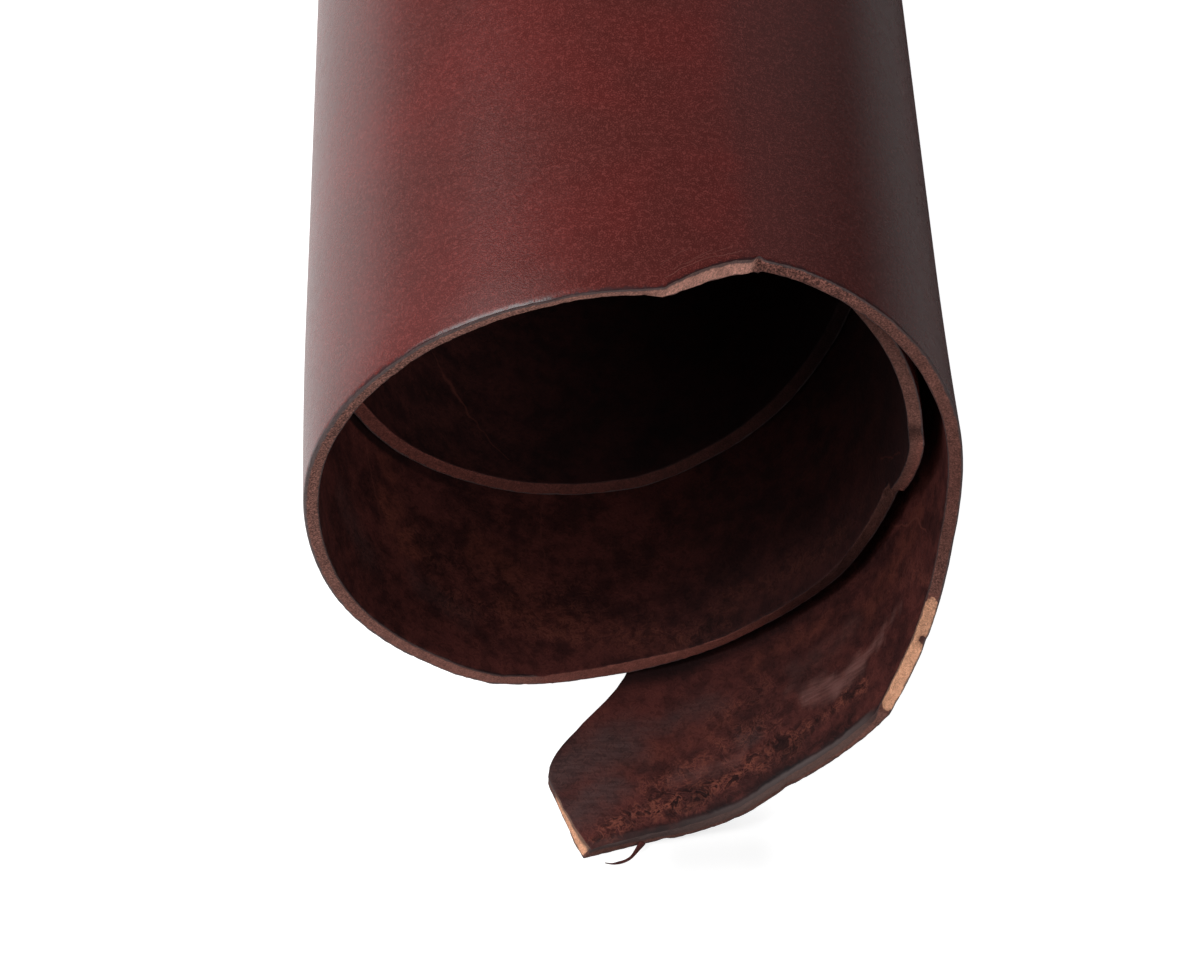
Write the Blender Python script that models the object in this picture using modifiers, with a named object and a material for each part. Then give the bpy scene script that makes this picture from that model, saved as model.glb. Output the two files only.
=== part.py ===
"""A side of heavy vegetable-tanned leather, rolled up grain side out and lying on its loose tail.

The side is one sheet. It is laid out as a grid whose columns run round the roll and whose rows run
along it, and each point of the grid is then wound into place. A wrap angle says how far round the
roll a point lies: -90 degrees is the tail under the roll, 0 the right, 90 the top, 180 the left and
270 the bottom of the second turn, seen from the near end, which looks along +Y. The angle keeps
counting up to the inner end of the sheet.
"""

import math
from collections import namedtuple

import bmesh
import bpy

# Driving dimensions, in metres and degrees.
THICKNESS = 0.0040  # 10 oz leather
AXIS_HEIGHT = 0.0833  # the roll's axis above the surface that it lies on
ROLL_LENGTH = 0.9200  # from the rim's left side to the far end
FLAT_BLEND = 0.0004  # how softly the tail's flat spot runs out into the round
TAIL_SLANT_FROM = -70.0  # beyond this wrap angle the columns lean to follow the tail's cut end
LIP_DEPTH = 0.060  # the rim springs out or in over this much of the near end
COLUMN_STEP = 5.0  # 72 columns a turn, so that the facets of every turn lie in line
FAR_STEP_IN = 0.0015  # each turn's far edge sits this much inside the one outside it
LEATHER_COLOUR = (0.13, 0.022, 0.016, 1.0)
LEATHER_ROUGHNESS = 0.38

# The grain side's radius on the outer turn, its tail and the start of the second turn.
Turn = namedtuple("Turn", "wrap radius")
OUTER_TURN = [
    Turn(-112, 0.0900),
    Turn(-90, 0.0846),
    Turn(-60, 0.0843),
    Turn(-35, 0.0836),
    Turn(15, 0.0826),
    Turn(90, 0.0823),
    Turn(180, 0.0824),
    Turn(225, 0.0812),
    Turn(270, 0.0786),
    Turn(300, 0.0768),
    Turn(330, 0.0749),
    Turn(350, 0.0743),
    Turn(380, 0.0754),
    Turn(405, 0.0772),
]

# From there on each turn lies against the one outside it, with a little air between them.
Air = namedtuple("Air", "wrap gap")
INNER_TURNS = [
    Air(405, 0.0012),
    Air(450, 0.0007),
    Air(540, 0.0010),
    Air(630, 0.0008),
    Air(765, 0.0015),
    Air(855, 0.0007),
    Air(990, 0.0008),
    Air(1125, 0.0014),
    Air(1236, 0.0016),
]

# How far the rim springs out of round at the near end.
Lip = namedtuple("Lip", "wrap out")
RIM_LIPS = [
    Lip(-25, 0.0),
    Lip(-12, 0.0002),
    Lip(8, 0.0011),
    Lip(24, 0.0),
    Lip(155, 0.0),
    Lip(183, -0.0012),
    Lip(210, 0.0),
]

# The near edge as it was cut: how far it sits behind the left side of the rim.
Cut = namedtuple("Cut", "wrap behind")
NEAR_EDGE = [
    Cut(-99, -0.0496),  # the tail's outer corner
    Cut(-86, -0.0451),
    Cut(-71, -0.0408),
    Cut(-61, -0.0349),
    Cut(-52, -0.0327),
    Cut(-38, -0.0288),  # the tail's inner corner
    Cut(-25, -0.0169),
    Cut(-10, -0.0014),
    Cut(0, 0.0055),
    Cut(12, 0.0120),
    Cut(24, 0.0136),
    Cut(60, 0.0134),
    Cut(68.4, 0.0128),  # the snag where one stroke ended
    Cut(77, 0.0060),
    Cut(85, -0.0010),  # where the next stroke began
    Cut(119, -0.0026),
    Cut(150, -0.0036),
    Cut(200, -0.0028),
    Cut(243, -0.0017),
    Cut(261, 0.0040),
    Cut(300, 0.0132),
    Cut(319, 0.0156),
    Cut(341, 0.0220),
    Cut(345, 0.0190),  # the notch on the second turn
    Cut(366, 0.0120),
    Cut(369, 0.0165),
    Cut(398, 0.0200),
    Cut(450, 0.0280),
    Cut(561, 0.0555),
    Cut(606, 0.0620),
    Cut(634, 0.0663),
    Cut(666, 0.0771),
    Cut(696, 0.0901),
    Cut(800, 0.1300),
    Cut(900, 0.1650),
    Cut(1050, 0.2000),
    Cut(1236, 0.2250),
]
EDGE_CORNERS = (-38, 68.4, 85, 341, 345, 366, 369)  # wrap angles of the edge's sharp corners

# The tail's cut end, by its distance behind the left side of the rim.
End = namedtuple("End", "behind wrap")
TAIL_END = [
    End(-0.050, -99.0),
    End(-0.024, -104.2),
    End(-0.019, -104.0),
    End(0.009, -90.3),
    End(0.024, -86.0),
    End(0.050, -84.0),
    End(0.090, -91.0),
    End(0.140, -99.0),
    End(0.250, -102.0),
    End(0.950, -101.0),
]

# Rows of the grid behind the tail's outer corner, closer together where the tail's end is cut about.
TAIL_ROWS = [0, 0.008, 0.016, 0.0255, 0.031, 0.038, 0.046, 0.058, 0.074, 0.100, 0.140, 0.220, 0.500]
ROWS_BEHIND = TAIL_ROWS + [ROLL_LENGTH - NEAR_EDGE[0].behind]


def between(rows, at):
    """The second column of a table at a value of its first, along straight lines."""
    if at <= rows[0][0]:
        return rows[0][1]
    for low, high in zip(rows, rows[1:]):
        if at <= high[0]:
            part = (at - low[0]) / (high[0] - low[0])
            return low[1] + part * (high[1] - low[1])
    return rows[-1][1]


def slopes(rows):
    """A slope at each row of a table, so that a smooth curve runs through it."""
    steps = [(b[1] - a[1]) / (b[0] - a[0]) for a, b in zip(rows, rows[1:])]
    return [steps[0]] + [(a + b) / 2 for a, b in zip(steps, steps[1:])] + [steps[-1]]


def smooth(rows, at):
    """The second column of a table at a value of its first, along a smooth curve."""
    at = min(max(at, rows[0][0]), rows[-1][0])
    lean = slopes(rows)
    for i, (low, high) in enumerate(zip(rows, rows[1:])):
        if at <= high[0]:
            span = high[0] - low[0]
            t = (at - low[0]) / span
            start = (1 + 2 * t) * (1 - t) ** 2 * low[1] + t * (1 - t) ** 2 * span * lean[i]
            stop = t * t * (3 - 2 * t) * high[1] + t * t * (t - 1) * span * lean[i + 1]
            return start + stop
    return rows[-1][1]


def radius(wrap):
    """The grain side's radius: from the table, or lying inside the turn before."""
    if wrap <= OUTER_TURN[-1].wrap:
        return smooth(OUTER_TURN, wrap)
    return radius(wrap - 360) - THICKNESS - smooth(INNER_TURNS, wrap)


def rim_lip(wrap, behind_edge):
    """The rim's spring out of round, dying away along the roll."""
    fade = max(0.0, 1 - behind_edge / LIP_DEPTH)
    return smooth(RIM_LIPS, wrap) * fade * fade


def on_the_floor(height):
    """Rounds the section off where the leather lies flat on the surface below it."""
    if height < -FLAT_BLEND:
        return 0.0
    if height < FLAT_BLEND:
        return (height + FLAT_BLEND) ** 2 / (4 * FLAT_BLEND)
    return height


def wound(wrap, behind, behind_edge):
    """A point of the sheet's grain side, wound into the roll."""
    out = radius(wrap) + rim_lip(wrap, behind_edge)
    across = out * math.cos(math.radians(wrap))
    height = AXIS_HEIGHT + out * math.sin(math.radians(wrap))
    if wrap < 0:
        height = on_the_floor(height)
    return across, behind, height


def column_wraps():
    """Wrap angles of the grid's columns: even steps, moved onto the corners of the near edge."""
    first, last = NEAR_EDGE[0].wrap, NEAR_EDGE[-1].wrap
    count = math.ceil((last - first) / COLUMN_STEP)
    wraps = [first + i * (last - first) / count for i in range(count + 1)]
    for corner in EDGE_CORNERS:
        nearest = min(range(len(wraps)), key=lambda i: abs(wraps[i] - corner))
        wraps[nearest] = corner
    return wraps


def point_of_sheet(wrap, row_behind):
    """Where the grid's point on this column and row lies once the side is rolled."""
    near = between(NEAR_EDGE, wrap)
    far = ROLL_LENGTH - FAR_STEP_IN * max(0.0, wrap) / 360
    along = row_behind / ROWS_BEHIND[-1]
    behind = near + along * (far - near)
    lean = max(0.0, (TAIL_SLANT_FROM - wrap) / (TAIL_SLANT_FROM - TAIL_END[0].wrap))
    slanted = wrap + lean * (between(TAIL_END, behind) - TAIL_END[0].wrap)
    return wound(slanted, behind, behind - near)


def roll_grid(grid, wraps):
    """Winds a flat unit grid into the rolled side, centred over its origin."""
    for vertex in grid.verts:
        column = round((vertex.co.x + 0.5) * (len(wraps) - 1))
        row = round((vertex.co.y + 0.5) * (len(ROWS_BEHIND) - 1))
        vertex.co = point_of_sheet(wraps[column], ROWS_BEHIND[row])
    for axis in (0, 1):
        places = [vertex.co[axis] for vertex in grid.verts]
        middle = (min(places) + max(places)) / 2
        for vertex in grid.verts:
            vertex.co[axis] -= middle


def leather_material():
    material = bpy.data.materials.new("leather")
    material.use_nodes = True
    shader = material.node_tree.nodes["Principled BSDF"]
    shader.inputs["Base Color"].default_value = LEATHER_COLOUR
    shader.inputs["Roughness"].default_value = LEATHER_ROUGHNESS
    shader.inputs["Metallic"].default_value = 0.0
    material.diffuse_color = LEATHER_COLOUR
    return material


def make_leather_side(collection):
    """The whole side: a rolled grid given the leather's thickness towards the flesh side."""
    wraps = column_wraps()
    grid = bmesh.new()
    bmesh.ops.create_grid(grid, x_segments=len(wraps) - 1, y_segments=len(ROWS_BEHIND) - 1, size=0.5)
    roll_grid(grid, wraps)
    face_outwards(grid)
    mesh = bpy.data.meshes.new("leather_side")
    grid.to_mesh(mesh)
    grid.free()
    mesh.shade_smooth()
    side = bpy.data.objects.new("leather_side", mesh)
    side.data.materials.append(leather_material())
    collection.objects.link(side)
    thick = side.modifiers.new("Thickness", "SOLIDIFY")
    thick.thickness = THICKNESS
    thick.offset = -1.0
    thick.use_even_offset = True
    return side


def face_outwards(grid):
    """Turns the faces so that the grain side, the roll's outer side, is the front."""
    grid.normal_update()
    highest = max(grid.faces, key=lambda face: face.calc_center_median().z)
    if highest.normal.z < 0:
        bmesh.ops.reverse_faces(grid, faces=grid.faces)


def clear_scene():
    for item in list(bpy.data.objects):
        bpy.data.objects.remove(item, do_unlink=True)


def main():
    clear_scene()
    collection = bpy.data.collections.new("LeatherSide")
    bpy.context.scene.collection.children.link(collection)
    make_leather_side(collection)


main()
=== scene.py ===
import math

import bpy
import numpy as np
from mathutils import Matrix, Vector


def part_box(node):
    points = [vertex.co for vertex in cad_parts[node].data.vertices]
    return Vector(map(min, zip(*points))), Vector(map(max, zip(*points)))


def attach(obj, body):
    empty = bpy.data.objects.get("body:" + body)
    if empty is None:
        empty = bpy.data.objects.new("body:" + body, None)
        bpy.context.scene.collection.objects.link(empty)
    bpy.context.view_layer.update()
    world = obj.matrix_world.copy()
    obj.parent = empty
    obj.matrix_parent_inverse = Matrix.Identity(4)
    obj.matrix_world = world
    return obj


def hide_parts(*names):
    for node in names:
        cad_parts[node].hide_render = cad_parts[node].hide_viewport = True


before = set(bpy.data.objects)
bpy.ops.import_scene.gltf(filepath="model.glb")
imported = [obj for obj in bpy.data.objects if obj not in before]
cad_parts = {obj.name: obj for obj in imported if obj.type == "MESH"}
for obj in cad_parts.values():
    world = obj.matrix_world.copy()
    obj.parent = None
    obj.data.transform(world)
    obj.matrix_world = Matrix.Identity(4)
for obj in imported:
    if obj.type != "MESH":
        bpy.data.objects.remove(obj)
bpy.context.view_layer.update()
sideLow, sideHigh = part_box("leather_side")
print("packed frame loaded")

# The rolled side, repeated from the part's own sizes, in metres and degrees.
# A wrap angle counts round the roll: -90 is the tail below it, 0 the right, 90 the top, 180 the left.
roll = {
    "thickness": 0.0040,
    "axisHeight": 0.0833,
    "length": 0.9200,
    "flatBlend": 0.0004,
    "tailSlantFrom": -70.0,
    "lipDepth": 0.060,
    "farStepIn": 0.0015,
    "outerTurn": [  # wrap, radius
        (-112, 0.0900), (-90, 0.0846), (-60, 0.0843), (-35, 0.0836), (15, 0.0826),
        (90, 0.0823), (180, 0.0824), (225, 0.0812), (270, 0.0786), (300, 0.0768),
        (330, 0.0749), (350, 0.0743), (380, 0.0754), (405, 0.0772),
    ],
    "airBetween": [  # wrap, gap to the turn outside
        (405, 0.0012), (450, 0.0007), (540, 0.0010), (630, 0.0008), (765, 0.0015),
        (855, 0.0007), (990, 0.0008), (1125, 0.0014), (1236, 0.0016),
    ],
    "rimLips": [  # wrap, how far the rim springs out
        (-25, 0.0), (-12, 0.0002), (8, 0.0011), (24, 0.0), (155, 0.0), (183, -0.0012), (210, 0.0),
    ],
    "nearEdge": [  # wrap, distance behind the left side of the rim
        (-99, -0.0496), (-86, -0.0451), (-71, -0.0408), (-61, -0.0349), (-52, -0.0327), (-38, -0.0288),
        (-25, -0.0169), (-10, -0.0014), (0, 0.0055), (12, 0.0120), (24, 0.0136), (60, 0.0132),
        (68.4, 0.0121), (72.5, 0.0101), (77, 0.0066), (81, 0.0029), (85, -0.0010), (119, -0.0026),
        (150, -0.0036), (200, -0.0028), (243, -0.0017), (261, 0.0040), (300, 0.0132), (319, 0.0156),
        (341, 0.0220), (344.4, 0.0214), (345, 0.0188), (366, 0.0120), (366.6, 0.0158), (369, 0.0165),
        (398, 0.0200), (450, 0.0280), (561, 0.0555), (606, 0.0620), (634, 0.0663), (666, 0.0771),
        (696, 0.0901), (800, 0.1300), (900, 0.1650), (1050, 0.2000), (1236, 0.2250),
    ],
    "tailEnd": [  # behind, wrap
        (-0.0500, -98.8), (-0.0446, -100.5), (-0.0383, -101.8), (-0.0300, -103.6), (-0.0262, -104.4),
        (-0.0231, -104.3), (-0.0190, -103.3), (-0.0139, -101.0), (-0.0082, -97.8), (-0.0030, -94.7),
        (0.0047, -91.0), (0.024, -86.0), (0.050, -84.0), (0.090, -91.0), (0.140, -99.0),
        (0.250, -102.0), (0.950, -101.0),
    ],
    "edgeCorners": (-38, 68.4, 85, 341, 345, 366, 369),  # wraps where the near edge turns sharply
    "columnSteps": [  # from, to, step
        (-99, -98.2, 0.2), (-98.2, -40, 0.7), (-40, -16, 0.5), (-16, 63, 0.8), (63, 88, 0.5),
        (88, 338, 0.8), (338, 372, 0.4), (372, 700, 2.0), (700, 1235, 6.0), (1235, 1236, 0.3),
    ],
    "nearRowsMm": [0, 0.25, 0.6, 1.1, 1.7, 2.4, 3.4, 5, 7.5, 9.5, 11.5, 13.5, 15.5, 17.5, 19.6, 21.5,
                   23.4, 26.5, 29, 31.1, 33.5, 35.9, 38, 40.3, 44, 47.7, 51.5, 55.3, 64, 73.6, 92],
    "middleRows": [0.08, 0.18, 0.32, 0.5, 0.7, 0.88],
    "farRowsMm": [3, 1.1, 0.5, 0.2, 0],
    "layers": [0, 0.05, 0.13, 0.27, 0.45, 0.63, 0.8, 0.92, 1.0],  # across the cut, grain to flesh
    "grainCornerMm": [  # wrap, how far the knife's corner is rubbed round on the grain side
        (-99, 0.45), (-38, 0.45), (60, 0.5), (69, 0.9), (86, 1.2), (150, 1.1), (180, 0.6), (240, 0.45),
        (1236, 0.45),
    ],
    "fleshCornerMm": [  # wrap, the same on the flesh side, where the flap's front is rubbed round
        (-99, 0.8), (-92, 1.8), (-80, 3.0), (-50, 3.2), (-42, 2.6), (-38.2, 0.35), (-19, 0.35),
        (-17, 0.6), (15, 0.5), (68, 0.4), (90, 0.5), (240, 0.7), (262, 0.5), (1236, 0.7),
    ],
    "plainCornerMm": 0.5,  # the same along the tail's own end and the far edge
    "knifeLean": [  # wrap, mm that the cut's grain side stands forward and its flesh side falls back
        (-39, 0, 0), (-37.5, 0, 1.0), (-30, 0, 1.3), (-25, 0, 0.6), (-19, 0, 0.3), (-17, 0, 0),
        (60, 0, 0), (67.8, 0, 0), (69.3, 0.2, -1.2), (71, 0.1, -1.4), (75, 0.1, -1.6), (79, 0.1, -1.6),
        (83, 0.2, -0.9), (85, 0.5, 0), (88, 0.9, 0.8), (105, 1.0, 0.8), (120, 0.4, 0.8),
        (140, 0.2, 0.8), (160, 0.1, 0.5), (180, 0, 0), (200, 0, 0.3), (225, 0, 0.5), (252, 0, 0.2),
        (262, 0, 0.4), (270, 0, 0.9), (276, 0, 0.6), (282, 0, 0), (290, 0, -0.6), (300, 0, -0.8),
        (318, 0, -0.8), (335, 0, -0.4), (344, 0, 0), (366, 0, 0), (520, 0, 0), (560, 0, 0.8),
        (690, 0, 0.8), (1236, 0, 0),
    ],
    "tailLean": [(-50, 2.2), (-46, 1.7), (-42, 1.0), (-36, 0.3), (-30, 0)],  # behind, mm, flesh side
    "rimDroopMm": [  # wrap, how far the rim is pressed in at its very edge
        (-99, 0), (85, 0), (100, 0.25), (120, 0.5), (140, 0.5), (155, 0.3), (175, 0), (505, 0.2),
        (530, 0.7), (560, 0.8), (590, 0.6), (620, 0.2), (640, 0), (1236, 0),
    ],
    "rimDroopReachMm": 12.0,
    "bendRadiusMm": 83.0,  # turns mm round the roll into degrees
    "rippleMm": 0.07,
    "rippleSizeMm": 55.0,
    "rippleWraps": (-60, -20),  # the tail lies flat, and the ripple grows from the first to the second
    "raggedMm": 0.12,
    "raggedHills": [  # seed, size in mm, strength, stretch through the sheet, shift
        (3, 1.3, 1.0, 3, 40), (4, 0.6, 0.6, 5, 0), (8, 7.0, 1.4, 0.2, 0),
    ],
    "raggedReachMm": 2.0,  # how far in from the cut it is ragged
    "leanReachMm": 5.0,  # how far in the knife's lean moves the sheet
    "tailLeanReachMm": 7.0,
    "tailShiftMm": 300,  # gives the tail's end ragged places of its own
    "biteSpread": 0.35,  # how much of the thickness a bite takes up
    "bites": [  # wrap, width in degrees, depth in mm, layer from 0 on the grain to 1 on the flesh
        (-25.6, 0.7, 1.3, 0.25), (-23.9, 0.5, 0.4, 0.9), (-36.0, 0.6, 0.4, 0.2), (68.5, 0.7, 1.5, 0.15),
        (67.6, 0.5, -0.9, 0.9), (252.6, 1.2, -0.5, 1.0), (341.6, 0.9, 0.8, 0.6), (367.6, 0.7, 0.9, 0.9),
        (132.0, 0.7, 0.3, 0.9), (188.0, 0.6, 0.3, 1.0), (-61.5, 1.2, 0.5, 0.0), (-71.5, 1.0, 0.5, 0.1),
        (-84.0, 0.9, 0.4, 0.0), (102.0, 0.6, 0.3, 1.0), (44.0, 0.7, 0.4, 0.9),
    ],
}
thickMm = roll["thickness"] * 1000
tailWrap = roll["nearEdge"][0][0]


def curveThrough(rows, at):
    # a smooth curve through a table's rows, the same one that the solid uses
    x = np.array([row[0] for row in rows], float)
    y = np.array([row[1] for row in rows], float)
    step = np.diff(y) / np.diff(x)
    lean = np.concatenate([[step[0]], (step[1:] + step[:-1]) / 2, [step[-1]]])
    at = np.clip(at, x[0], x[-1])
    i = np.clip(np.searchsorted(x, at, side="left") - 1, 0, len(x) - 2)
    span = x[i + 1] - x[i]
    t = (at - x[i]) / span
    start = (1 + 2 * t) * (1 - t) ** 2 * y[i] + t * (1 - t) ** 2 * span * lean[i]
    stop = t * t * (3 - 2 * t) * y[i + 1] + t * t * (t - 1) * span * lean[i + 1]
    return start + stop


def straightThrough(rows, at, column=1):
    # straight lines through one column of a table
    return np.interp(at, [row[0] for row in rows], [row[column] for row in rows])


def fadeOut(distance, reach):
    # 1 at an edge, easing to 0 where its reach ends
    return np.clip(1 - distance / reach, 0, 1) ** 2


def turnRadius(wrap):
    # the grain side's radius: from the table, or lying inside the turn before
    last = roll["outerTurn"][-1][0]
    out = curveThrough(roll["outerTurn"], np.minimum(wrap, last))
    inner = wrap > last
    if inner.any():
        air = curveThrough(roll["airBetween"], wrap[inner])
        out[inner] = turnRadius(wrap[inner] - 360) - roll["thickness"] - air
    return out


# the radius once, on a fine ruler, eased a little where one table takes over from the other
rulerWraps = np.arange(-130.0, 1260.0, 0.5)
rulerRadius = turnRadius(rulerWraps)
easing = np.hanning(19)
rulerRadius = np.pad(rulerRadius, len(easing) // 2, mode="edge")
rulerRadius = np.convolve(rulerRadius, easing / easing.sum(), mode="valid")


def softNoise(seed, x, y, size):
    # smooth random hills between -1 and 1, size apart
    rows, columns = 61, 67
    table = np.random.default_rng(seed).uniform(-1, 1, (rows, columns))
    u, v = np.asarray(x) / size, np.asarray(y) / size
    iu, iv = np.floor(u).astype(int), np.floor(v).astype(int)
    fu, fv = u - iu, v - iv
    fu, fv = fu * fu * (3 - 2 * fu), fv * fv * (3 - 2 * fv)
    a, b = (table[(iu + step) % rows, iv % columns] for step in (0, 1))
    c, d = (table[(iu + step) % rows, (iv + 1) % columns] for step in (0, 1))
    return (a * (1 - fu) + b * fu) * (1 - fv) + (c * (1 - fu) + d * fu) * fv


def sectionPoint(wrap, behindEdge, lift):
    # across and up on the roll's section, lift metres off the nominal grain side
    lip = curveThrough(roll["rimLips"], wrap) * fadeOut(behindEdge, roll["lipDepth"])
    out = np.interp(wrap, rulerWraps, rulerRadius) + lip + lift
    across = out * np.cos(np.radians(wrap))
    height = roll["axisHeight"] + out * np.sin(np.radians(wrap))
    soft = roll["flatBlend"]
    blended = np.where(height < -soft, 0.0, (height + soft) ** 2 / (4 * soft))
    height = np.where((wrap < 0) & (height < soft), blended, height)
    return across, height


def windSheet(wrap, behind, depth, behindEdge, lift):
    # a point of the sheet, depth metres below its grain side, wound into the roll
    nudge = 0.2  # degrees to each side, to find which way the sheet runs
    across, height = sectionPoint(wrap, behindEdge, lift)
    ahead = sectionPoint(wrap + nudge, behindEdge, lift)
    back = sectionPoint(wrap - nudge, behindEdge, lift)
    alongAcross, alongHeight = ahead[0] - back[0], ahead[1] - back[1]
    size = np.hypot(alongAcross, alongHeight)
    outAcross, outHeight = alongHeight / size, -alongAcross / size
    return np.stack([across - depth * outAcross, behind, height - depth * outHeight], -1)


def sheetColumns():
    wraps = [np.arange(low, high, step) for low, high, step in roll["columnSteps"]]
    wraps = np.concatenate(wraps + [[roll["columnSteps"][-1][1]]])
    for corner in roll["edgeCorners"]:
        wraps[np.argmin(abs(wraps - corner))] = corner
    return wraps


def rowPlaces(near, far):
    # distance behind the rim for every row of a column
    first = np.array(roll["nearRowsMm"]) / 1000
    last = np.array(roll["farRowsMm"]) / 1000
    middle = np.array(roll["middleRows"])
    space = far - last[0] - near - first[-1]
    return np.concatenate([near + first, near + first[-1] + middle * space, far - last])


def leatherLattice():
    # the sheet as a box lattice: columns round the roll, rows along it, layers through it
    wraps = sheetColumns()
    near = straightThrough(roll["nearEdge"], wraps)
    far = roll["length"] - roll["farStepIn"] * np.maximum(0, wraps) / 360
    behind = np.stack([rowPlaces(n, f) for n, f in zip(near, far)])
    slantFrom = roll["tailSlantFrom"]
    slant = np.maximum(0, (slantFrom - wraps) / (slantFrom - tailWrap))
    wrap = wraps[:, None] + slant[:, None] * (curveThrough(roll["tailEnd"], behind) - tailWrap)
    return wraps, near, far, wrap, behind


def arcLength(wrap):
    # distance round the sheet from the tail, in metres
    flat = sectionPoint(rulerWraps, np.ones_like(rulerWraps), np.zeros_like(rulerWraps))
    steps = np.hypot(np.diff(flat[0]), np.diff(flat[1]))
    return np.interp(wrap, rulerWraps, np.concatenate([[0], np.cumsum(steps)]))


def roundedOver(inward, down, size):
    # moves points near a square corner onto a round one; both distances are from the corner's sides
    tiny = 1e-9  # keeps the division off zero
    size = np.broadcast_to(size, inward.shape)
    inside = (inward < size) & (down < size)
    left, up = size - inward, size - down
    reach = np.maximum(np.maximum(left, up), tiny)
    shrink = reach / np.maximum(np.hypot(left, up), tiny)
    return np.where(inside, size - left * shrink, inward), np.where(inside, size - up * shrink, down)


def roundBothCorners(inward, depth, grainHalf, grainCorner, fleshCorner):
    # rubs both corners of a cut end round; inward is the distance from that end
    moved, fleshDown = roundedOver(inward, thickMm - depth, fleshCorner)
    moved, grainDown = roundedOver(moved, depth, grainCorner)
    return moved, np.where(grainHalf, grainDown, thickMm - fleshDown)


def roughenedCut(along, layers):
    # how far the knife's cut stands back here and there, in mm
    through = layers[None, :] * thickMm
    hills = 0
    for seed, size, strength, stretch, shift in roll["raggedHills"]:
        hills = hills + strength * softNoise(seed, along[:, None], through * stretch + shift, size)
    return roll["raggedMm"] * hills


def makeMesh(name, points, faces):
    mesh = bpy.data.meshes.new(name)
    mesh.from_pydata(points.tolist(), [], faces)
    mesh.polygons.foreach_set("use_smooth", np.ones(len(faces), bool))
    return mesh


def paintPoints(mesh, name, values):
    # one number, or one place, for each point of the mesh
    kind, field = ("FLOAT_VECTOR", "vector") if values.ndim == 2 else ("FLOAT", "value")
    layer = mesh.attributes.new(name, kind, "POINT")
    layer.data.foreach_set(field, values.astype(np.float32).ravel())


def placeObject(name, data):
    item = bpy.data.objects.new(name, data)
    bpy.context.scene.collection.objects.link(item)
    return item


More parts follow.
